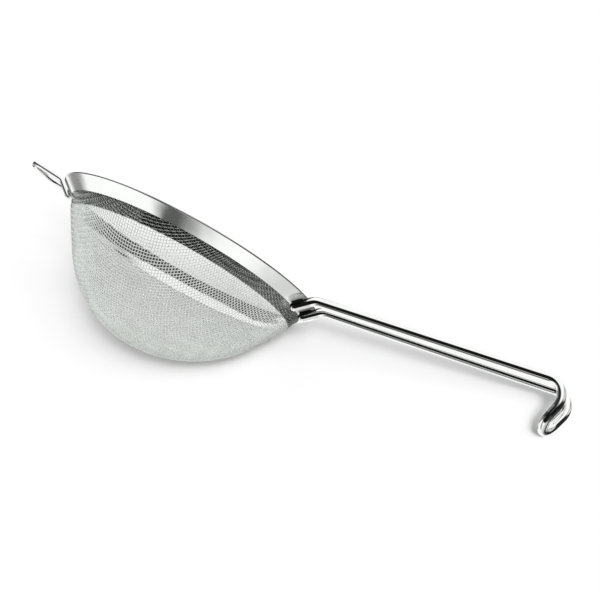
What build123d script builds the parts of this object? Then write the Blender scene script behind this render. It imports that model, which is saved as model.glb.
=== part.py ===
from build123d import *

import math
import os

os.makedirs("parts", exist_ok=True)

# Tea strainer, all sizes in mm.
# Origin: centre of the rim's opening, in the plane of the rim's top edge.
# +Z points out of the opening, along the bowl's axis. +X points to the handle.

# Rim: a flared outer ring, folded over at the top, and an inner ring that clamps the mesh
# against it, from just below the fold down.
RIM_RADIUS = 40.0
SHEET = 0.25
MESH_THICKNESS = 0.4
FLARE_ANGLE = 50.5
FLARE_SLANT = 4.8
SKIRT_ANGLE = 22.0
SKIRT_SLANT = 3.75
HEM_GAP = 0.1
HEM_RADIUS = (2 * SHEET + HEM_GAP) / 2
HEM_LIP = 1.0
CLAMP_START = HEM_LIP + 0.15

# Bowl: a straight flank that runs into a round bottom, which leans a little to the rest loop.
FLANK_ANGLE = 32.0
BOWL_DEPTH = 32.0
BOWL_LEAN = 2.0
BOWL_RINGS = 9
LAST_RING_ANGLE = 84.0

# Handle: one wire, two legs that part slightly towards the hook and close in again at its tip.
HANDLE_WIRE = 2.6
HANDLE_FOOT_GAP = 8.8
HANDLE_HOOK_GAP = 11.2
HOOK_TIP_GAP = 8.6
HANDLE_FOOT_LOW = -3.9
HANDLE_FOOT_HIGH = -0.15
HANDLE_LENGTH = 75.5
HANDLE_RISE = 5.9
HANDLE_ROOT_BEND = 5.0
HOOK_BEND = 4.8
HOOK_DROP = 9.3
HOOK_LEAN = 17.0

# Rest loop: a thinner wire on the other side.
LOOP_WIRE = 1.6
LOOP_GAP = 12.0
LOOP_FOOT_LOW = -2.4
LOOP_FOOT_HIGH = 1.2
LOOP_LENGTH = 6.9
LOOP_RISE = 7.5
LOOP_BEND = 2.5

# Spot welds: pads of melted metal between each foot and the outer ring.
WELD_GAP = 0.12
WELD_LENGTH_RATIO = 1.3
WELD_WIDTH_RATIO = 0.6
WELD_SHIFT_RATIO = 0.4


def slope(angle):
    """Unit vector down a ring's face that leans inwards by angle from the vertical."""
    return Vector(-math.sin(math.radians(angle)), 0, -math.cos(math.radians(angle)))


def outward(angle):
    """Unit normal of the same face, pointing away from the bowl's axis."""
    return Vector(math.cos(math.radians(angle)), 0, -math.sin(math.radians(angle)))


HEM_CENTRE = Vector(RIM_RADIUS - HEM_RADIUS, 0, -HEM_RADIUS)
FACE_TOP = HEM_CENTRE + outward(FLARE_ANGLE) * HEM_RADIUS
KNEE = FACE_TOP + slope(FLARE_ANGLE) * FLARE_SLANT


def flare_point(along, inset):
    """Point of the flare, along its slope from the hem and inset from its outer face."""
    return FACE_TOP + slope(FLARE_ANGLE) * along - outward(FLARE_ANGLE) * inset


def knee_point(inset):
    """Corner between flare and skirt, inset from their outer faces."""
    half_turn = math.radians(FLARE_ANGLE - SKIRT_ANGLE) / 2
    bisector = outward((FLARE_ANGLE + SKIRT_ANGLE) / 2)
    return KNEE - bisector * (inset / math.cos(half_turn))


def skirt_end(inset):
    """Lower end of the skirt, inset from its outer face."""
    return KNEE + slope(SKIRT_ANGLE) * SKIRT_SLANT - outward(SKIRT_ANGLE) * inset


def turned(profile):
    """Solid of revolution of a closed outline about the bowl's axis."""
    return revolve(make_face(profile), Axis.Z, 360)


def rim_outer_band():
    inner_radius = HEM_RADIUS - SHEET
    lip_inset = 2 * HEM_RADIUS
    crown = HEM_CENTRE - slope(FLARE_ANGLE) * HEM_RADIUS
    inner_crown = HEM_CENTRE - slope(FLARE_ANGLE) * inner_radius
    outline = [
        ThreePointArc(flare_point(0, 0), crown, flare_point(0, lip_inset)),
        Line(flare_point(0, lip_inset), flare_point(HEM_LIP, lip_inset)),
        Line(flare_point(HEM_LIP, lip_inset), flare_point(HEM_LIP, lip_inset - SHEET)),
        Line(flare_point(HEM_LIP, lip_inset - SHEET), flare_point(0, lip_inset - SHEET)),
        ThreePointArc(flare_point(0, lip_inset - SHEET), inner_crown, flare_point(0, SHEET)),
        Line(flare_point(0, SHEET), flare_point(FLARE_SLANT, SHEET)),
        Line(flare_point(FLARE_SLANT, SHEET), flare_point(FLARE_SLANT, 0)),
        Line(flare_point(FLARE_SLANT, 0), flare_point(0, 0)),
    ]
    return turned(Wire(outline))


def rim_inner_band():
    outer_inset = SHEET + MESH_THICKNESS
    inner_inset = outer_inset + SHEET
    outline = Polyline(
        flare_point(CLAMP_START, outer_inset),
        knee_point(outer_inset),
        skirt_end(outer_inset),
        skirt_end(inner_inset),
        knee_point(inner_inset),
        flare_point(CLAMP_START, inner_inset),
        close=True,
    )
    return turned(outline)


def bowl_rings(inset):
    """Circles of the bowl's skin, from the skirt down, inset from its outer face."""
    lean = math.radians(FLANK_ANGLE)
    start = skirt_end(SHEET)
    # The round bottom touches the flank, so its centre follows from flank and depth.
    reach = start.X * math.cos(lean) - start.Z * math.sin(lean)
    centre_z = (reach - BOWL_DEPTH) / (1 - math.sin(lean))
    radius = centre_z + BOWL_DEPTH - inset
    rings = [(start.X - inset / math.cos(lean), start.Z)]
    for step in range(BOWL_RINGS):
        angle = FLANK_ANGLE + (LAST_RING_ANGLE - FLANK_ANGLE) * step / (BOWL_RINGS - 1)
        ring_radius = radius * math.cos(math.radians(angle))
        rings.append((ring_radius, centre_z - radius * math.sin(math.radians(angle))))
    circles = []
    for ring_radius, z in rings:
        depth_share = (start.Z - z) / (start.Z + BOWL_DEPTH)
        shift = -BOWL_LEAN * depth_share**3
        circles.append(Pos(shift, 0, z) * Circle(ring_radius))
    return circles


def skin_solid(inset):
    """Full bowl inside the skin at an inset: a straight flank and a smooth round bottom."""
    circles = bowl_rings(inset)
    flank = loft(circles[:2], ruled=True)
    bottom = loft(circles[1:])
    return flank + bottom


def mesh_basket():
    bowl = skin_solid(0) - skin_solid(MESH_THICKNESS)
    inner_inset = SHEET + MESH_THICKNESS
    start = skirt_end(SHEET)
    flank_width = MESH_THICKNESS / math.cos(math.radians(FLANK_ANGLE))
    edge_outline = Polyline(
        flare_point(CLAMP_START, SHEET),
        knee_point(SHEET),
        start,
        start - Vector(flank_width, 0, 0),
        skirt_end(inner_inset),
        knee_point(inner_inset),
        flare_point(CLAMP_START, inner_inset),
        close=True,
    )
    return bowl + turned(edge_outline)


def rounded_path(points, radii):
    """Wire through points whose inner corners are rounded with the given radii."""
    pieces = []
    start = points[0]
    for before, corner, after, radius in zip(points, points[1:], points[2:], radii):
        back = (before - corner).normalized()
        ahead = (after - corner).normalized()
        half = math.acos(back.dot(ahead)) / 2
        reach = radius / math.tan(half)
        arc_start = corner + back * reach
        arc_end = corner + ahead * reach
        middle_way = radius / math.sin(half) - radius
        arc_middle = corner + (back + ahead).normalized() * middle_way
        if (arc_start - start).length > 1e-6:
            pieces.append(Line(start, arc_start))
        pieces.append(ThreePointArc(arc_start, arc_middle, arc_end))
        start = arc_end
    pieces.append(Line(start, points[-1]))
    return Wire(pieces)


def bent_wire(leg, radii, wire_size):
    """Round wire through one leg's points and back through their mirror images in Y."""
    other_leg = [Vector(point.X, -point.Y, point.Z) for point in reversed(leg)]
    points = leg + other_leg
    path = rounded_path(points, radii + radii[::-1])
    start_plane = Plane(points[0], z_dir=points[1] - points[0])
    body = sweep(start_plane * Circle(wire_size / 2), path=path)
    for end in (points[0], points[-1]):
        body += Pos(end) * Sphere(wire_size / 2)
    return body


def foot_point(height, half_gap, wire_size, side):
    """Wire centre at a height, where the wire stands off the flare by the weld gap."""
    face_radius = FACE_TOP.X + (height - FACE_TOP.Z) * math.tan(math.radians(FLARE_ANGLE))
    stand_off = (wire_size / 2 + WELD_GAP) / math.cos(math.radians(FLARE_ANGLE))
    distance = face_radius + stand_off
    return Vector(side * math.sqrt(distance**2 - half_gap**2), -half_gap, height)


def handle_leg():
    half_foot = HANDLE_FOOT_GAP / 2
    half_hook = HANDLE_HOOK_GAP / 2
    foot = foot_point(HANDLE_FOOT_LOW, half_foot, HANDLE_WIRE, 1)
    root = foot_point(HANDLE_FOOT_HIGH, half_foot, HANDLE_WIRE, 1)
    rise = math.radians(HANDLE_RISE)
    corner_x = root.X + HANDLE_LENGTH * math.cos(rise)
    corner_z = root.Z + HANDLE_LENGTH * math.sin(rise)
    corner = Vector(corner_x, -half_hook, corner_z)
    lean = math.radians(HOOK_LEAN)
    half_tip = HOOK_TIP_GAP / 2
    drop = HOOK_DROP + half_tip
    tip_x = corner_x - math.sin(lean) * drop
    tip_z = corner_z - math.cos(lean) * drop
    tip = Vector(tip_x, -half_tip, tip_z)
    return [foot, root, corner, tip]


def handle_wire():
    radii = [HANDLE_ROOT_BEND, HOOK_BEND, HOOK_TIP_GAP / 2]
    return bent_wire(handle_leg(), radii, HANDLE_WIRE)


def loop_leg():
    half_gap = LOOP_GAP / 2
    foot = foot_point(LOOP_FOOT_LOW, half_gap, LOOP_WIRE, -1)
    root = foot_point(LOOP_FOOT_HIGH, half_gap, LOOP_WIRE, -1)
    rise = math.radians(LOOP_RISE)
    reach = LOOP_LENGTH + half_gap
    tip = root + Vector(-math.cos(rise), 0, math.sin(rise)) * reach
    return [foot, root, tip]


def rest_loop_wire():
    return bent_wire(loop_leg(), [LOOP_BEND, LOOP_GAP / 2], LOOP_WIRE)


def weld_pads(leg, wire_size, neighbours):
    """Pads between both feet of a wire and the outer ring, cut to fit against them."""
    foot = leg[0]
    pads = []
    for mirror in (1, -1):
        centre = Vector(foot.X, foot.Y * mirror, foot.Z)
        turn = math.degrees(math.atan2(centre.Y, centre.X))
        normal = outward(FLARE_ANGLE).rotate(Axis.Z, turn)
        along = slope(FLARE_ANGLE).rotate(Axis.Z, turn)
        pad_centre = centre - along * wire_size * WELD_SHIFT_RATIO
        plane = Plane(pad_centre, x_dir=along, z_dir=-normal)
        outline = SlotOverall(wire_size * WELD_LENGTH_RATIO, wire_size * WELD_WIDTH_RATIO)
        pad = extrude(plane * outline, wire_size / 2 + WELD_GAP + SHEET / 2)
        for neighbour in neighbours:
            pad -= neighbour
        pads.append(pad)
    return Compound(pads)


def save(name, shape):
    export_step(shape, os.path.join("parts", name + ".step"))


outer_band = rim_outer_band()
handle = handle_wire()
rest_loop = rest_loop_wire()

save("rim_outer_band", outer_band)
save("rim_inner_band", rim_inner_band())
save("mesh_basket", mesh_basket())
save("handle_wire", handle)
save("rest_loop_wire", rest_loop)
save("handle_welds", weld_pads(handle_leg(), HANDLE_WIRE, [outer_band, handle]))
save("rest_loop_welds", weld_pads(loop_leg(), LOOP_WIRE, [outer_band, rest_loop]))
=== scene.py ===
"""Looks of the tea strainer: woven wire cloth, steel finishes, studio and camera. Metres, CAD frame."""

import math

import bpy
import numpy as np
from mathutils import Matrix, Vector


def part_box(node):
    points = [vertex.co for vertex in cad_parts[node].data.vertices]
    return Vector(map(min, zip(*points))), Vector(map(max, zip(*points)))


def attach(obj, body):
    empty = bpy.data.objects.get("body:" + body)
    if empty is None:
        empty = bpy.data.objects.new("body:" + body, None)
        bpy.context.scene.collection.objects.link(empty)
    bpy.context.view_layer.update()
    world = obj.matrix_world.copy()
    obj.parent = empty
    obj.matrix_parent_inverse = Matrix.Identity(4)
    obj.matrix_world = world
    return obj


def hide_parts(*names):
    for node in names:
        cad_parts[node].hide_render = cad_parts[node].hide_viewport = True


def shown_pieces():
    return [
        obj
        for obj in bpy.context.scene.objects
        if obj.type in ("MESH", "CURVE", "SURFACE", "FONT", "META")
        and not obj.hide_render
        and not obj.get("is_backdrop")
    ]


MILLIMETRE = 0.001
TINY = 1e-9

# Wire cloth: spacing and thickness of its threads, and how far they weave and wander.
CLOTH_PITCH = 0.00088
CLOTH_WIRE = 0.00024
CRIMP = 0.00007
WAVER = 0.00004

# A thread is a tube of six sides; each cap is the two quads that close one of its ends.
WIRE_SIDES = 6
START_CAP = ((3, 2, 1, 0), (5, 4, 3, 0))
END_CAP = ((0, 1, 2, 3), (0, 3, 4, 5))
FEWEST_RINGS = 4

# Waves of the wander: size, radians per millimetre of u and of v, and phase.
WANDER_U = ((1.0, 0.21, 0.53, 1.3), (0.7, -0.44, 1.37, 0.0), (0.5, 0.6, 2.9, 0.0))
WANDER_V = ((1.0, 0.47, -0.26, 0.4), (0.7, 1.51, 0.38, 0.0), (0.5, 3.1, -0.7, 0.0))

# Measuring the bowl: level cuts, closer together near the bottom, then even steps along its slope.
BASKET_LEVELS = 220
LEVEL_CROWDING = 1.7
STEPS_PER_PITCH = 8
CORNER_SMOOTHING = 0.0006
OVERHANG_SLOPE = 0.7

# Laying the cloth: rounds of correction for each crossing, and the weights of a smooth midpoint.
DRAPE_ROUNDS = 5
NUDGES_PER_PITCH = 1000
NEAR_WEIGHT = 0.5625
FAR_WEIGHT = 0.0625

# A face whose normal leans this little away from the bowl's axis is partly outer and partly inner.
FACING_BLUR = 0.1

# Spot welds: distance of their middles from the pads' outer side, and the satin sheet around them.
WELD_INSET = 0.0009
WELD_SATIN_REACH = 0.0055
WELD_SATIN_CORE = 0.45
WELD_SATIN_ROUGHNESS = 0.42
WELD_SATIN_METALLIC = 0.6

# Painted dark reflection on the fold under the rim's top edge: its lower end, its fully dark share and its
# strength.
HEM_LINE = 0.00055
HEM_LINE_CORE = 0.6
HEM_REFLECTION_DARKNESS = 0.7

# Inner knee of the rim: height over the outer ring's lower edge, and how it is rounded below that.
KNEE_STEP = 0.00055
KNEE_REACH = 0.75
KNEE_SLOPE = 0.54

# Painted shade on the wire by the handle's welds; the stretch is the share of the length that doesn't
# count.
WELD_SHADE_REACH = 0.0021
WELD_SHADE_FADE = 0.0003
WELD_SHADE_STRETCH = 0.68

# Relief of the metals; the sheet's rolling lines are a small share of its waves.
SHEET_RELIEF = 0.00012
SHEET_LINE_SHARE = 0.02
WIRE_RELIEF = 0.000002
CLOTH_RELIEF = 0.000008
WELD_RELIEF = 0.00008

# Spans of a noise pattern's value that are stretched over a finish.
MIDDLE = (0.3, 0.7)
UPPER = (0.35, 0.7)
HIGHER = (0.4, 0.7)
NARROW = (0.35, 0.65)

# Roughness of each metal over its fine pattern, and what its clouds add.
SHEET_ROUGHNESS = (0.05, 0.12)
SHEET_CLOUD_ROUGHNESS = (0.0, 0.03)
WIRE_ROUGHNESS = (0.02, 0.07)
WIRE_CLOUD_ROUGHNESS = (0.0, 0.03)
CLOTH_ROUGHNESS = (0.20, 0.30)
CLOTH_CLOUD_ROUGHNESS = (0.0, 0.06)
WELD_ROUGHNESS = (0.32, 0.5)

# Noise patterns: clouds and grain by scale in 1/m, lines by scale around or along and across.
SHEET_CLOUDS = 90.0
SHEET_LINES = (6.0, 9000.0)
SHEET_WAVES = (5.0, 150.0)
WIRE_CLOUDS = 160.0
WIRE_LINES = (60.0, 9000.0, 9000.0)
CLOTH_CLOUDS = 220.0
CLOTH_GRAIN = 4000.0
WELD_CLOUDS = 900.0
TABLE_CLOUDS = 4.0
CARD_GRAIN = 300.0

# Cloth: blur of the line where it leaves the band, and where its painted shading by height starts, in bowl
# depths.
BAND_EDGE_BLUR = 0.0002
LOW_CLOTH_START = 0.85
OPEN_CLOTH_METALLIC = 0.55

# Colours; a pair is the darker and the lighter shade of one material.
SHEET_COLOURS = ((0.83, 0.85, 0.83, 1.0), (0.88, 0.895, 0.878, 1.0))
WIRE_COLOURS = ((0.82, 0.83, 0.82, 1.0), (0.88, 0.885, 0.88, 1.0))
# Cloth low and high in the bowl: painted shading by height, a little lighter towards the bottom.
LOW_CLOTH_COLOURS = ((0.66, 0.685, 0.655, 1.0), (0.74, 0.765, 0.735, 1.0))
HIGH_CLOTH_COLOURS = ((0.64, 0.665, 0.64, 1.0), (0.72, 0.745, 0.72, 1.0))
# Cloth on the band: painted shade and dark reflection.
BAND_CLOTH_SHADE_COLOURS = ((0.60, 0.63, 0.60, 1.0), (0.70, 0.73, 0.70, 1.0))
WELD_COLOURS = ((0.012, 0.012, 0.011, 1.0), (0.035, 0.035, 0.032, 1.0))
TABLE_COLOURS = ((0.86, 0.86, 0.86, 1.0), (0.88, 0.88, 0.88, 1.0))
CARD_COLOURS = ((0.06, 0.06, 0.06, 1.0), (0.09, 0.09, 0.09, 1.0))
# Painted dark reflection on the fold under the rim's top edge.
FOLD_REFLECTION_COLOUR = (0.04, 0.045, 0.042, 1.0)
# Painted shade on the handle wire by its welds.
WELD_SHADE_COLOUR = (0.01, 0.01, 0.01, 1.0)
WHITE = (1.0, 1.0, 1.0, 1.0)

# White table behind and below the strainer. Only the handle's hook touches it: the rim stays about
# 3 mm clear of it and the cloth about 4 mm.
TABLE_NORMAL = Vector((-0.27, -0.80, 0.536)).normalized()
TABLE_HALF_WIDTH = 1.5

# Camera, around a point between bowl and hook.
AIM_POINT = Vector((0.0365, 0.0, -0.0007))
CAMERA_DISTANCE = 0.5853
CAMERA_AZIMUTH = math.radians(22.38)
CAMERA_ELEVATION = math.radians(-10.77)
CAMERA_ROLL = math.radians(28.9)
FOCAL_LENGTH_MM = 128.7
SENSOR_MM = 36.0
CLIP_START = 0.01
CLIP_END = 20.0

# Room that the steel mirrors: tilt of its up from the level camera's up, and brightness by side.
ROOM_TILT = math.radians(48.0)
WHITE_LEVEL = 1.12
GREY_LEVEL = 0.68
GREY_SIDE = (0.35, 0.60)
LEAST_SQUARE = 0.0001

# Dark wall on the camera's side, lighter low down at its two ends. A pair is a span of a direction's
# share along one axis, over which a shade comes in or goes out.
WALL_DEPTH = 0.992
WALL_FOOT = (-0.20, -0.05)
WALL_TOP = (0.74, 0.90)
WALL_FRONT = (0.10, 0.40)
WALL_RIGHT_END = (0.35, 0.65)
WALL_RIGHT_FADE = 0.10
WALL_LEFT_END = (-0.80, -0.68)
WALL_LEFT_FADE = 0.20
LOW_DOWN = (-0.30, -0.15)

# Dark wings at both sides, a little lighter low down.
WING_DEPTH = 0.96
WING_LOW_FADE = 0.14
WING_FOOT = (-0.50, -0.40)
WING_TOP = (0.20, 0.40)
WING_START = (0.45, 0.65)

# Dark stand low down, to the left of the camera.
STAND_DEPTH = 0.90
STAND_OFFSET = 0.06
STAND_LEFT = (-0.26, -0.08)
STAND_RIGHT = (0.04, 0.42)
STAND_FRONT = (-0.35, 0.05)
STAND_TOP = (-0.1, 0.1)

# Round dark spots: direction by right, up and backward, inner and outer half angle, and depth.
SPOTS = (
    (-0.13, -0.16, -0.975, 7.0, 13.0, 0.90),
    (-0.41, -0.49, -0.77, 5.0, 15.0, 0.74),
    (0.66, 0.75, 0.04, 4.0, 10.0, 0.85),
)

# Dark card above the rim's far edge and beyond it: x from and to, y from and to.
FLAG_HEIGHT = 0.060
FLAG_BOX = (-0.065, 0.010, 0.035, 0.120)

# Light on matt things, the white behind everything, and three soft lights:
# strength, spread in degrees, and how far above and beside the camera's direction.
MATT_LIGHT = 0.40
BACKDROP_LEVEL = 1.05
LIGHTS = {
    "wide_light": (0.95, 24.0, 0.24, 0.19),
    "middle_light": (1.25, 12.0, 0.15, 0.10),
    "narrow_light": (1.75, 8.0, 0.09, 0.06),
}


# ---------------------------------------------------------------- geometry of the bowl


def mesh_arrays(mesh):
    """Vertex positions and edge ends of a mesh as arrays."""
    points = np.empty(len(mesh.vertices) * 3)
    mesh.vertices.foreach_get("co", points)
    ends = np.empty(len(mesh.edges) * 2, dtype=np.int64)
    mesh.edges.foreach_get("vertices", ends)
    return points.reshape(-1, 3), ends.reshape(-1, 2)


def basket_levels(basket):
    """Height, outer radius and sideways shift of the CAD basket, level by level from the bottom."""
    points, ends = mesh_arrays(basket.data)
    first = points[ends[:, 0]]
    second = points[ends[:, 1]]
    low = points[:, 2].min()
    high = points[:, 2].max()
    rows = [(low, 0.0, 0.0)]
    for share in np.linspace(0.0, 1.0, BASKET_LEVELS)[1:-1]:
        height = low + (high - low) * share**LEVEL_CROWDING
        crossing = (first[:, 2] - height) * (second[:, 2] - height) < 0
        a = first[crossing]
        b = second[crossing]
        part = (height - a[:, 2]) / (b[:, 2] - a[:, 2])
        cut = a + part[:, None] * (b - a)
        shift = (cut[:, 0].max() + cut[:, 0].min()) / 2
        rows.append((height, cut[:, 1].max(), shift))
    rows[0] = (low, 0.0, rows[1][2])
    return np.array(rows)


def smoothed(values, reach):
    """Running mean over 2 * reach + 1 samples, with the ends kept."""
    before = 2 * values[0] - values[reach:0:-1]
    after = 2 * values[-1] - values[-2:-reach - 2:-1]
    padded = np.concatenate([before, values, after])
    kernel = np.ones(2 * reach + 1) / (2 * reach + 1)
    return np.convolve(padded, kernel, mode="valid")


def arc_length(flat):
    """Distance of flat (u, v) from (0, 0), never quite zero."""
    return np.maximum(np.hypot(flat[..., 0], flat[..., 1]), TINY)


class BowlSkin:
    """Middle surface of the cloth, addressed by arc length from the bottom and direction."""

    def __init__(self, basket, thickness):
        levels = basket_levels(basket)
        height, radius, shift = levels.T
        arc = np.concatenate([[0.0], np.cumsum(np.hypot(np.diff(radius), np.diff(height)))])
        step = CLOTH_PITCH / STEPS_PER_PITCH
        self.top = arc[-1]
        self.arc = np.arange(0.0, self.top, step)
        reach = int(CORNER_SMOOTHING / step)
        radius = smoothed(np.interp(self.arc, arc, radius), reach)
        height = smoothed(np.interp(self.arc, arc, height), reach)
        along = np.stack([np.gradient(radius, step), np.gradient(height, step)])
        along /= np.linalg.norm(along, axis=0)
        self.normal_r = along[1]
        self.normal_z = -along[0]
        self.radius = radius - self.normal_r * thickness / 2
        self.height = height - self.normal_z * thickness / 2
        self.radius[0] = 0.0
        self.shift = smoothed(np.interp(self.arc, arc, shift), reach)

    def at(self, flat):
        """Points of the surface for flat (u, v), without the bowl's lean."""
        arc = arc_length(flat)
        over = np.maximum(arc - self.arc[-1], 0.0) * OVERHANG_SLOPE
        radius = np.interp(arc, self.arc, self.radius) + over
        height = np.interp(arc, self.arc, self.height) + over
        return np.stack([radius * (flat[..., 0] / arc), radius * (flat[..., 1] / arc), height], axis=-1)

    def placed(self, flat):
        """Points and outward normals, with the bowl's lean."""
        points = self.at(flat)
        arc = arc_length(flat)
        points[..., 0] += np.interp(arc, self.arc, self.shift)
        outward = np.interp(arc, self.arc, self.normal_r)
        upward = np.interp(arc, self.arc, self.normal_z)
        normals = np.stack([outward * flat[..., 0] / arc, outward * flat[..., 1] / arc, upward], axis=-1)
        return points, normals


def draped_corner(skin, pitch, count):
    """Crossings of a square cloth pressed into the bowl, for one quarter of it.

    Threads keep their length between crossings, so each crossing lies one pitch from its two neighbours."""
    corner = np.zeros((count + 1, count + 1, 2))
    steps = np.arange(count + 1) * pitch
    corner[:, 0, 0] = steps
    corner[0, :, 1] = steps
    nudge = pitch / NUDGES_PER_PITCH
    for diagonal in range(2, 2 * count + 1):
        i = np.arange(max(1, diagonal - count), min(diagonal - 1, count) + 1)
        j = diagonal - i
        side_a = skin.at(corner[i - 1, j])
        side_b = skin.at(corner[i, j - 1])
        guess = corner[i - 1, j] + corner[i, j - 1] - corner[i - 1, j - 1]

        def misses(flat):
            here = skin.at(flat)
            miss_a = ((here - side_a) ** 2).sum(-1) - pitch**2
            miss_b = ((here - side_b) ** 2).sum(-1) - pitch**2
            return np.stack([miss_a, miss_b], axis=-1)

        for _ in range(DRAPE_ROUNDS):
            miss = misses(guess)
            slope_u = (misses(guess + [nudge, 0.0]) - miss) / nudge
            slope_v = (misses(guess + [0.0, nudge]) - miss) / nudge
            scale = slope_u[:, 0] * slope_v[:, 1] - slope_v[:, 0] * slope_u[:, 1]
            scale = np.where(np.abs(scale) < TINY, TINY, scale)
            move_u = (slope_v[:, 1] * miss[:, 0] - slope_v[:, 0] * miss[:, 1]) / scale
            move_v = (slope_u[:, 0] * miss[:, 1] - slope_u[:, 1] * miss[:, 0]) / scale
            move = np.clip(np.stack([move_u, move_v], axis=-1), -pitch / 2, pitch / 2)
            guess = guess - move
        corner[i, j] = guess
    return corner


def whole_drape(corner):
    """The quarter mirrored to all four sides."""
    right = np.concatenate([(corner * [-1.0, 1.0])[:0:-1], corner], axis=0)
    return np.concatenate([(right * [1.0, -1.0])[:, :0:-1], right], axis=1)


def wander(flat, waves):
    """Sum of slow waves over the flat cloth."""
    u = flat[..., 0] / MILLIMETRE
    v = flat[..., 1] / MILLIMETRE
    return sum(size * np.sin(per_u * u + per_v * v + phase) for size, per_u, per_v, phase in waves)


def wavered(flat):
    """Slow small wander of the threads, as pressed cloth has."""
    return flat + WAVER / 2 * np.stack([wander(flat, WANDER_U), wander(flat, WANDER_V)], axis=-1)


def with_midpoints(flat):
    """Rows of crossings along axis 0, with a smooth midpoint between each two."""
    longer = np.concatenate([flat[:1] * 2 - flat[1:2], flat, flat[-1:] * 2 - flat[-2:-1]])
    near = longer[1:-2] + longer[2:-1]
    far = longer[:-3] + longer[3:]
    fine = np.empty((2 * len(flat) - 1,) + flat.shape[1:])
    fine[0::2] = flat
    fine[1::2] = near * NEAR_WEIGHT - far * FAR_WEIGHT
    return fine


def wire_rings(skin, flat, over_first):
    """Cross-section rings of every thread along axis 0, and which of them lie in the bowl."""
    fine = with_midpoints(flat)
    points, normals = skin.placed(fine)
    steps = np.arange(len(fine))[:, None]
    threads = np.arange(fine.shape[1])[None, :]
    wave = np.cos(math.pi * steps / 2) * np.where((threads + over_first) % 2 == 0, 1.0, -1.0)
    centres = points + normals * (CRIMP * wave)[..., None]
    along = np.gradient(centres, axis=0)
    along /= np.linalg.norm(along, axis=-1, keepdims=True)
    across = np.cross(along, normals)
    across /= np.linalg.norm(across, axis=-1, keepdims=True)
    outward = np.cross(across, along)
    turns = np.arange(WIRE_SIDES) * (2 * math.pi / WIRE_SIDES)
    radius = CLOTH_WIRE / 2
    rings = centres[:, :, None, :] + radius * (
        np.cos(turns)[:, None] * outward[:, :, None, :] + np.sin(turns)[:, None] * across[:, :, None, :]
    )
    inside = np.hypot(fine[..., 0], fine[..., 1]) <= skin.top
    return rings, inside


def tube_mesh(rings, inside, threads):
    """Vertices and quads of closed tubes for the chosen threads."""
    vertices = []
    faces = []
    start = 0
    around = np.arange(WIRE_SIDES)
    after = (around + 1) % WIRE_SIDES
    for thread in threads:
        kept = np.flatnonzero(inside[:, thread])
        if len(kept) < FEWEST_RINGS:
            continue
        tube = rings[kept, thread].reshape(-1, 3)
        base = start + np.arange(len(kept) - 1)[:, None] * WIRE_SIDES
        above = base + WIRE_SIDES
        quads = np.stack([base + around, base + after, above + after, above + around], axis=-1)
        last = start + (len(kept) - 1) * WIRE_SIDES
        vertices.append(tube)
        faces.append(quads.reshape(-1, 4))
        faces.append(start + np.array(START_CAP))
        faces.append(last + np.array(END_CAP))
        start += len(tube)
    return np.concatenate(vertices), np.concatenate(faces)


def add_piece(name, vertices, faces, material):
    """Smooth-shaded object that rides on the root body."""
    mesh = bpy.data.meshes.new(name)
    mesh.from_pydata(vertices, [], faces)
    mesh.polygons.foreach_set("use_smooth", np.ones(len(faces), dtype=bool))
    mesh.materials.append(material)
    mesh.update()
    piece = bpy.data.objects.new(name, mesh)
    bpy.context.scene.collection.objects.link(piece)
    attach(piece, "root")
    return piece


def woven_basket(material):
    """Wire cloth of the bowl: one family of threads along the handle, one across it, each in halves."""
    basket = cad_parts["mesh_basket"]
    skin = BowlSkin(basket, CLOTH_WIRE + 2 * CRIMP)
    count = int(skin.top / CLOTH_PITCH) + 2
    crossings = wavered(whole_drape(draped_corner(skin, CLOTH_PITCH, count)))
    families = {
        "along": wire_rings(skin, crossings, 0),
        "across": wire_rings(skin, crossings.transpose(1, 0, 2), 1),
    }
    halves = {"along": ("front", "back"), "across": ("loop_side", "handle_side")}
    total = crossings.shape[0]
    for family, (rings, inside) in families.items():
        for half, threads in zip(halves[family], (range(0, count), range(count, total))):
            vertices, faces = tube_mesh(rings, inside, threads)
            piece = add_piece(f"cloth_{family}_{half}", vertices, faces, material)
            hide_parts("mesh_basket")


# ---------------------------------------------------------------- materials


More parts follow.
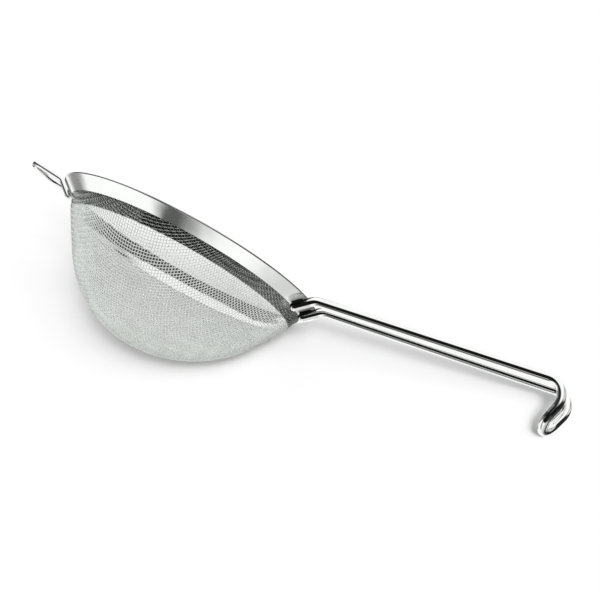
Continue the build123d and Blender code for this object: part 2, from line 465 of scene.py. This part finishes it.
class Nodes:
    """Short way to build a node tree."""

    def __init__(self, tree):
        self.tree = tree
        tree.nodes.clear()

    def add(self, kind, inputs=None, **settings):
        """New node; an input is a value, or a socket to link from."""
        node = self.tree.nodes.new(kind)
        for key, value in settings.items():
            setattr(node, key, value)
        for key, value in (inputs or {}).items():
            if isinstance(value, bpy.types.NodeSocket):
                self.tree.links.new(value, node.inputs[key])
            else:
                node.inputs[key].default_value = value
        return node

    def math(self, operation, *values):
        """Result of a math node."""
        return self.add("ShaderNodeMath", dict(enumerate(values)), operation=operation).outputs[0]

    def times(self, first, second):
        """Product of two values."""
        return self.math("MULTIPLY", first, second)

    def largest(self, first, second):
        """The larger of two values."""
        return self.math("MAXIMUM", first, second)

    def vector(self, operation, *values):
        """Vector result of a vector math node."""
        return self.add("ShaderNodeVectorMath", dict(enumerate(values)), operation=operation).outputs[0]

    def measure(self, operation, first, second):
        """Number result of a vector math node, such as a dot product or a distance."""
        inputs = {0: first, 1: second}
        return self.add("ShaderNodeVectorMath", inputs, operation=operation).outputs["Value"]

    def noise(self, vector, scale, detail=2.0, roughness=0.5):
        """Cloudy pattern around one half."""
        inputs = {"Vector": vector, "Scale": scale, "Detail": detail, "Roughness": roughness}
        return self.add("ShaderNodeTexNoise", inputs).outputs["Fac"]

    def ranged(self, value, low, high, new_low, new_high):
        """Smooth step that takes low to new_low and high to new_high."""
        inputs = {"Value": value, "From Min": low, "From Max": high, "To Min": new_low, "To Max": new_high}
        return self.add("ShaderNodeMapRange", inputs, interpolation_type="SMOOTHSTEP").outputs[0]

    def rising(self, value, span):
        """Smooth step from 0 to 1 over a span."""
        return self.ranged(value, *span, 0.0, 1.0)

    def falling(self, value, span):
        """Smooth step from 1 to 0 over a span."""
        return self.ranged(value, *span, 1.0, 0.0)

    def mixed(self, factor, first, second):
        """Blend of two colours."""
        inputs = {"Factor": factor, 6: first, 7: second}
        return self.add("ShaderNodeMix", inputs, data_type="RGBA").outputs[2]

    def chosen(self, factor, first, second):
        """Blend of two numbers."""
        inputs = {0: factor, 2: first, 3: second}
        return self.add("ShaderNodeMix", inputs, data_type="FLOAT").outputs[0]


def new_material(name):
    """Empty node material and its tree."""
    material = bpy.data.materials.new(name)
    material.use_nodes = True
    return material, Nodes(material.node_tree)


def finish_metal(nodes, colour, roughness, relief, relief_height, metallic=1.0):
    """Metal surface whose relief is bump of the given height in metres."""
    bump = nodes.add("ShaderNodeBump", {"Height": relief, "Distance": relief_height, "Strength": 1.0})
    shader = nodes.add(
        "ShaderNodeBsdfPrincipled",
        {"Base Color": colour, "Metallic": metallic, "Roughness": roughness, "Normal": bump.outputs[0]},
    )
    nodes.add("ShaderNodeOutputMaterial", {"Surface": shader.outputs[0]})


def matt_surface(nodes, grain_scale, colours):
    """Matt shader with a faint grain between two colours."""
    grain = nodes.noise(object_position(nodes), grain_scale)
    return nodes.add("ShaderNodeBsdfDiffuse", {"Color": nodes.mixed(grain, *colours)}).outputs[0]


def object_position(nodes):
    """Place on the object, in metres."""
    return nodes.add("ShaderNodeTexCoord").outputs["Object"]


def height_of(nodes, position):
    """Height above the plane of the rim's top edge."""
    return nodes.add("ShaderNodeSeparateXYZ", {0: position}).outputs[2]


def away_from_axis(nodes, position):
    """Level direction away from the bowl's axis."""
    return nodes.vector("NORMALIZE", nodes.vector("MULTIPLY", position, (1.0, 1.0, 0.0)))


def ring_position(nodes, position, around, across):
    """Coordinates that change slowly around the bowl's axis and fast across the band."""
    height = nodes.times(height_of(nodes, position), across)
    lifted = nodes.add("ShaderNodeCombineXYZ", {2: height}).outputs[0]
    turned = nodes.vector("MULTIPLY", away_from_axis(nodes, position), (around, around, around))
    return nodes.vector("ADD", turned, lifted)


def weld_centres(node):
    """Middles of the two pads of a welds node."""
    low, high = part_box(node)
    middle = (low + high) / 2
    side = high.y - WELD_INSET
    return [Vector((middle.x, side, middle.z)), Vector((middle.x, -side, middle.z))]


def outer_faces(nodes, position):
    """1 on faces that look away from the bowl's axis, 0 on those that look towards it."""
    normal = nodes.add("ShaderNodeNewGeometry").outputs["Normal"]
    facing = nodes.measure("DOT_PRODUCT", away_from_axis(nodes, position), normal)
    return nodes.rising(facing, (-FACING_BLUR, FACING_BLUR))


def rounded_knee(nodes, position):
    """Relief in metres that rounds the knee between flare and skirt on the rim's inside."""
    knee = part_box("rim_outer_band")[0].z + KNEE_STEP
    reach = (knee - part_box("rim_inner_band")[0].z) * KNEE_REACH
    inside = nodes.math("SUBTRACT", 1.0, outer_faces(nodes, position))
    above_end = nodes.math("SUBTRACT", height_of(nodes, position), knee - reach)
    share = nodes.math("MINIMUM", nodes.largest(nodes.math("DIVIDE", above_end, reach), 0.0), 1.0)
    fall = nodes.math("SUBTRACT", 1.0, nodes.times(share, share))
    return nodes.times(nodes.times(inside, fall), reach * KNEE_SLOPE / 2)


def painted_fold_reflection(nodes, position, outer):
    """Strength of the painted dark reflection on the fold under the rim's top edge, on the outside only."""
    height = height_of(nodes, position)
    line = nodes.ranged(height, -HEM_LINE, -HEM_LINE * HEM_LINE_CORE, 0.0, HEM_REFLECTION_DARKNESS)
    return nodes.times(line, outer)


def weld_satin(nodes, position, outer):
    """1 on the sheet right by a spot weld, 0 away from all of them and on the inside."""
    span = (WELD_SATIN_REACH * WELD_SATIN_CORE, WELD_SATIN_REACH)
    satin = 0.0
    for centre in weld_centres("handle_welds") + weld_centres("rest_loop_welds"):
        distance = nodes.measure("DISTANCE", position, centre)
        satin = nodes.largest(satin, nodes.falling(distance, span))
    return nodes.times(satin, outer)


def rolled_sheet():
    """Bright rolled stainless sheet with faint rolling lines around the ring, satin by the welds, and a
    painted dark reflection on the fold under its top edge.
    """
    material, nodes = new_material("rolled_sheet")
    position = object_position(nodes)
    outer = outer_faces(nodes, position)
    satin = weld_satin(nodes, position, outer)
    lines = nodes.noise(ring_position(nodes, position, *SHEET_LINES), 1.0, detail=4.0, roughness=0.6)
    waves = nodes.noise(ring_position(nodes, position, *SHEET_WAVES), 1.0, detail=1.0)
    cloud = nodes.noise(position, SHEET_CLOUDS, detail=3.0)

    colour = nodes.mixed(nodes.rising(cloud, MIDDLE), *SHEET_COLOURS)
    # Painted dark reflection on the fold under the rim's top edge.
    colour = nodes.mixed(painted_fold_reflection(nodes, position, outer), colour, FOLD_REFLECTION_COLOUR)

    streaks = nodes.ranged(lines, *MIDDLE, *SHEET_ROUGHNESS)
    roughness = nodes.math("ADD", streaks, nodes.ranged(cloud, *UPPER, *SHEET_CLOUD_ROUGHNESS))
    roughness = nodes.largest(roughness, nodes.times(satin, WELD_SATIN_ROUGHNESS))
    metallic = nodes.ranged(satin, 0.0, 1.0, 1.0, WELD_SATIN_METALLIC)

    relief = nodes.math("ADD", nodes.times(lines, SHEET_LINE_SHARE), waves)
    knee = nodes.math("DIVIDE", rounded_knee(nodes, position), SHEET_RELIEF)
    finish_metal(nodes, colour, roughness, nodes.math("ADD", relief, knee), SHEET_RELIEF, metallic)
    return material


def painted_weld_shade(nodes, position, welds):
    """Painted shade: 1 on the wire in a long patch by each pad, else 0."""
    low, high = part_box(welds)
    outward = math.copysign(high.x - low.x, low.x + high.x)
    slope = Vector((outward, 0.0, high.z - low.z)).normalized()
    tone_and_shade = 0.0
    for centre in weld_centres(welds):
        offset = nodes.vector("SUBTRACT", position, centre)
        along = nodes.measure("DOT_PRODUCT", offset, slope)
        squeezed = nodes.vector("SUBTRACT", offset, nodes.vector("MULTIPLY", along, slope * WELD_SHADE_STRETCH))
        distance = nodes.measure("DISTANCE", squeezed, (0.0, 0.0, 0.0))
        tone_and_shade = nodes.largest(tone_and_shade, nodes.falling(distance, (WELD_SHADE_REACH - WELD_SHADE_FADE, WELD_SHADE_REACH)))
    return tone_and_shade


def polished_wire():
    """Electropolished wire with fine drawing scratches along it, and painted shade by the handle's welds.
    """
    material, nodes = new_material("polished_wire")
    position = object_position(nodes)
    lines = nodes.noise(nodes.vector("MULTIPLY", position, WIRE_LINES), 1.0, detail=3.0)
    cloud = nodes.noise(position, WIRE_CLOUDS, detail=3.0)
    colour = nodes.mixed(nodes.rising(cloud, UPPER), *WIRE_COLOURS)
    # Painted shade on the wire by the handle's welds.
    colour = nodes.mixed(painted_weld_shade(nodes, position, "handle_welds"), colour, WELD_SHADE_COLOUR)
    scratches = nodes.ranged(lines, *MIDDLE, *WIRE_ROUGHNESS)
    roughness = nodes.math("ADD", scratches, nodes.ranged(cloud, *HIGHER, *WIRE_CLOUD_ROUGHNESS))
    finish_metal(nodes, colour, roughness, lines, WIRE_RELIEF)
    return material


def cloth_wire():
    """Drawn stainless thread: pale and satin in the open, with painted shading by height; darker where it
    is pressed onto the band, as painted shade and dark reflection.
    """
    band_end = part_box("rim_inner_band")[0].z
    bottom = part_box("mesh_basket")[0].z
    material, nodes = new_material("cloth_wire")
    position = object_position(nodes)
    cloud = nodes.noise(position, CLOTH_CLOUDS, detail=3.0)
    grain = nodes.noise(position, CLOTH_GRAIN)
    height = height_of(nodes, position)
    open_cloth = nodes.falling(height, (band_end - BAND_EDGE_BLUR, band_end + BAND_EDGE_BLUR))
    tone_and_shade = nodes.rising(cloud, MIDDLE)
    low_cloth = nodes.mixed(tone_and_shade, *LOW_CLOTH_COLOURS)
    high_cloth = nodes.mixed(tone_and_shade, *HIGH_CLOTH_COLOURS)
    # Painted shading by height: the cloth is a little lighter towards the bottom.
    height_shaded = nodes.mixed(nodes.rising(height, (bottom * LOW_CLOTH_START, band_end)), low_cloth, high_cloth)
    # Painted shade and dark reflection on the cloth that lies on the band.
    colour = nodes.mixed(open_cloth, nodes.mixed(tone_and_shade, *BAND_CLOTH_SHADE_COLOURS), height_shaded)
    satin = nodes.ranged(grain, *MIDDLE, *CLOTH_ROUGHNESS)
    roughness = nodes.math("ADD", satin, nodes.ranged(cloud, *HIGHER, *CLOTH_CLOUD_ROUGHNESS))
    metallic = nodes.ranged(open_cloth, 0.0, 1.0, 1.0, OPEN_CLOTH_METALLIC)
    finish_metal(nodes, colour, roughness, grain, CLOTH_RELIEF, metallic)
    return material


def weld_metal():
    """Spot-weld metal, near black."""
    material, nodes = new_material("weld_metal")
    cloud = nodes.noise(object_position(nodes), WELD_CLOUDS, detail=4.0)
    colour = nodes.mixed(nodes.rising(cloud, NARROW), *WELD_COLOURS)
    roughness = nodes.ranged(cloud, *MIDDLE, *WELD_ROUGHNESS)
    finish_metal(nodes, colour, roughness, cloud, WELD_RELIEF)
    return material


def dress(node, material):
    """Gives a CAD node one material."""
    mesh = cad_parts[node].data
    mesh.materials.clear()
    mesh.materials.append(material)
    mesh.polygons.foreach_set("material_index", np.zeros(len(mesh.polygons), dtype=np.int32))


# ---------------------------------------------------------------- camera and table


def level_axes():
    """Right, up and backward directions of the camera before its roll."""
    level = math.cos(CAMERA_ELEVATION)
    backward = Vector(
        (
            math.sin(CAMERA_AZIMUTH) * level,
            -math.cos(CAMERA_AZIMUTH) * level,
            math.sin(CAMERA_ELEVATION),
        )
    )
    right = Vector((math.cos(CAMERA_AZIMUTH), math.sin(CAMERA_AZIMUTH), 0.0))
    return right, backward.cross(right), backward


def camera_axes():
    """Camera position and its right, up and backward directions."""
    right, up, backward = level_axes()
    turn = Matrix.Rotation(CAMERA_ROLL, 3, backward)
    return AIM_POINT + backward * CAMERA_DISTANCE, turn @ right, turn @ up, backward


def make_camera():
    """Camera that looks at the strainer from below its rim, with the handle to the lower right."""
    place, right, up, backward = camera_axes()
    data = bpy.data.cameras.new("camera")
    data.lens = FOCAL_LENGTH_MM
    data.sensor_width = SENSOR_MM
    data.clip_start = CLIP_START
    data.clip_end = CLIP_END
    camera = bpy.data.objects.new("camera", data)
    turn = Matrix((right, up, backward)).transposed()
    camera.matrix_world = Matrix.Translation(place) @ turn.to_4x4()
    bpy.context.scene.collection.objects.link(camera)
    bpy.context.scene.camera = camera


def flat_card(name, x0, x1, y0, y1, material):
    """Object of one quad that faces its own +Z; it isn't in the scene yet."""
    mesh = bpy.data.meshes.new(name)
    mesh.from_pydata([(x0, y0, 0), (x1, y0, 0), (x1, y1, 0), (x0, y1, 0)], [], [(0, 1, 2, 3)])
    mesh.materials.append(material)
    return bpy.data.objects.new(name, mesh)


def put_on_stage(thing):
    """Puts an object in the scene as part of the studio."""
    bpy.context.scene.collection.objects.link(thing)
    thing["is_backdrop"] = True


def lowest_over(normal):
    """Lowest distance of the shown object along a direction."""
    return min((mesh_arrays(piece.data)[0] @ np.array(normal)).min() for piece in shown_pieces())


def table_material():
    """White from above, clear from below."""
    material, nodes = new_material("white_table")
    matt = matt_surface(nodes, TABLE_CLOUDS, TABLE_COLOURS)
    clear = nodes.add("ShaderNodeBsdfTransparent").outputs[0]
    behind = nodes.add("ShaderNodeNewGeometry").outputs["Backfacing"]
    shader = nodes.add("ShaderNodeMixShader", {0: behind, 1: matt, 2: clear})
    nodes.add("ShaderNodeOutputMaterial", {"Surface": shader.outputs[0]})
    return material


def make_table():
    """White table through the strainer's lowest point; the steel doesn't mirror it."""
    half = TABLE_HALF_WIDTH
    table = flat_card("table", -half, half, -half, half, table_material())
    turn = TABLE_NORMAL.to_track_quat("Z", "Y").to_matrix().to_4x4()
    table.matrix_world = Matrix.Translation(TABLE_NORMAL * lowest_over(TABLE_NORMAL)) @ turn
    table.visible_glossy = False
    put_on_stage(table)


# ---------------------------------------------------------------- room, card and lights


def wall_shade(nodes, side, height, rise, front):
    """Dark wall on the camera's side of the room."""
    square = nodes.math("SUBTRACT", 1.0, nodes.times(rise, rise))
    facing = nodes.math("DIVIDE", front, nodes.math("SQRT", nodes.largest(square, LEAST_SQUARE)))
    right_fade = nodes.ranged(side, *WALL_RIGHT_END, 0.0, WALL_RIGHT_FADE)
    left_fade = nodes.ranged(side, *WALL_LEFT_END, WALL_LEFT_FADE, 0.0)
    fade = nodes.times(nodes.falling(height, LOW_DOWN), nodes.math("ADD", right_fade, left_fade))
    shade = nodes.times(nodes.rising(rise, WALL_FOOT), nodes.falling(rise, WALL_TOP))
    shade = nodes.times(shade, nodes.rising(facing, WALL_FRONT))
    return nodes.times(shade, nodes.math("SUBTRACT", WALL_DEPTH, fade))


def wing_shade(nodes, side, height):
    """Dark wings at both sides of the room."""
    upright = nodes.times(nodes.rising(height, WING_FOOT), nodes.falling(height, WING_TOP))
    sideways = nodes.rising(nodes.math("ABSOLUTE", side), WING_START)
    low_fade = nodes.times(nodes.falling(height, LOW_DOWN), WING_LOW_FADE)
    return nodes.times(upright, nodes.times(sideways, nodes.math("SUBTRACT", WING_DEPTH, low_fade)))


def stand_shade(nodes, side, height, toward):
    """Dark stand low down, to the left of the camera."""
    off_centre = nodes.math("ADD", nodes.math("ADD", side, toward), STAND_OFFSET)
    left = nodes.ranged(off_centre, *STAND_LEFT, 0.0, STAND_DEPTH)
    across = nodes.times(left, nodes.falling(off_centre, STAND_RIGHT))
    standing = nodes.times(nodes.rising(toward, STAND_FRONT), nodes.falling(height, STAND_TOP))
    return nodes.times(across, standing)


def spot_shade(nodes, direction, centre, inner, outer, depth):
    """Round dark spot of the room."""
    nearness = nodes.measure("DOT_PRODUCT", direction, centre.normalized())
    edge = math.cos(math.radians(outer))
    return nodes.ranged(nearness, edge, math.cos(math.radians(inner)), 0.0, depth)


def studio_level(nodes):
    """Brightness of the room by direction, as the steel mirrors it: white with a few dark places."""
    right, up, backward = level_axes()
    room_up = up * math.cos(ROOM_TILT) + backward * math.sin(ROOM_TILT)
    room_front = backward * math.cos(ROOM_TILT) - up * math.sin(ROOM_TILT)
    direction = nodes.add("ShaderNodeTexCoord").outputs["Generated"]
    side = nodes.measure("DOT_PRODUCT", direction, right)
    height = nodes.measure("DOT_PRODUCT", direction, up)
    toward = nodes.measure("DOT_PRODUCT", direction, backward)
    rise = nodes.measure("DOT_PRODUCT", direction, room_up)
    front = nodes.measure("DOT_PRODUCT", direction, room_front)

    dark = nodes.largest(wall_shade(nodes, side, height, rise, front), wing_shade(nodes, side, height))
    dark = nodes.largest(dark, stand_shade(nodes, side, height, toward))
    for by_right, by_up, by_backward, inner, outer, depth in SPOTS:
        centre = right * by_right + up * by_up + backward * by_backward
        dark = nodes.largest(dark, spot_shade(nodes, direction, centre, inner, outer, depth))
    white = nodes.ranged(side, *GREY_SIDE, WHITE_LEVEL, GREY_LEVEL)
    return nodes.times(white, nodes.math("SUBTRACT", 1.0, dark))


def make_world():
    """White to the eye, even light for matt things, the studio for shiny ones."""
    world = bpy.data.worlds.new("studio")
    bpy.context.scene.world = world
    world.use_nodes = True
    world.cycles.sampling_method = "NONE"
    nodes = Nodes(world.node_tree)
    path = nodes.add("ShaderNodeLightPath")
    lit = nodes.chosen(path.outputs["Is Glossy Ray"], MATT_LIGHT, studio_level(nodes))
    shown = nodes.chosen(path.outputs["Is Camera Ray"], lit, BACKDROP_LEVEL)
    background = nodes.add("ShaderNodeBackground", {"Color": WHITE, "Strength": shown})
    nodes.add("ShaderNodeOutputWorld", {"Surface": background.outputs[0]})


def make_flag():
    """Dark grey card above the rim's far edge, seen only as a reflection in the rim's far side."""
    material, nodes = new_material("dark_card")
    nodes.add("ShaderNodeOutputMaterial", {"Surface": matt_surface(nodes, CARD_GRAIN, CARD_COLOURS)})
    flag = flat_card("flag", *FLAG_BOX, material)
    flag.location = (0.0, 0.0, FLAG_HEIGHT)
    flag.visible_camera = False
    flag.visible_diffuse = False
    flag.visible_transmission = False
    flag.visible_shadow = False
    put_on_stage(flag)


def make_light(name, strength, spread, above, aside):
    """Soft light beside the camera; it shades the table and isn't mirrored in the steel."""
    _, right, up, backward = camera_axes()
    toward = (backward + up * above + right * aside).normalized()
    data = bpy.data.lights.new(name, "SUN")
    data.energy = strength
    data.angle = math.radians(spread)
    light = bpy.data.objects.new(name, data)
    light.rotation_mode = "QUATERNION"
    light.rotation_quaternion = toward.to_track_quat("Z", "Y")
    light.visible_glossy = False
    bpy.context.scene.collection.objects.link(light)


# ---------------------------------------------------------------- the scene


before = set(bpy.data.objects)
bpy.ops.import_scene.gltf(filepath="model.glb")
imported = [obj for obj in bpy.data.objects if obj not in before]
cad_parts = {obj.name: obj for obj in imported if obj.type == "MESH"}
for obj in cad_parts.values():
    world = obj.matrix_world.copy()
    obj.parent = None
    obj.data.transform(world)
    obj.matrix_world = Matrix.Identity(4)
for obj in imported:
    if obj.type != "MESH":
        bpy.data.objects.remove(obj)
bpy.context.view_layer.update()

sheet = rolled_sheet()
wire = polished_wire()
thread = cloth_wire()
weld = weld_metal()
for node in ("rim_outer_band", "rim_inner_band"):
    dress(node, sheet)
for node in ("handle_wire", "rest_loop_wire"):
    dress(node, wire)
for node in ("handle_welds", "rest_loop_welds"):
    dress(node, weld)
woven_basket(thread)

make_table()
make_world()
make_flag()
for light_name, setting in LIGHTS.items():
    make_light(light_name, *setting)
make_camera()
bpy.context.scene.view_settings.view_transform = "Standard"
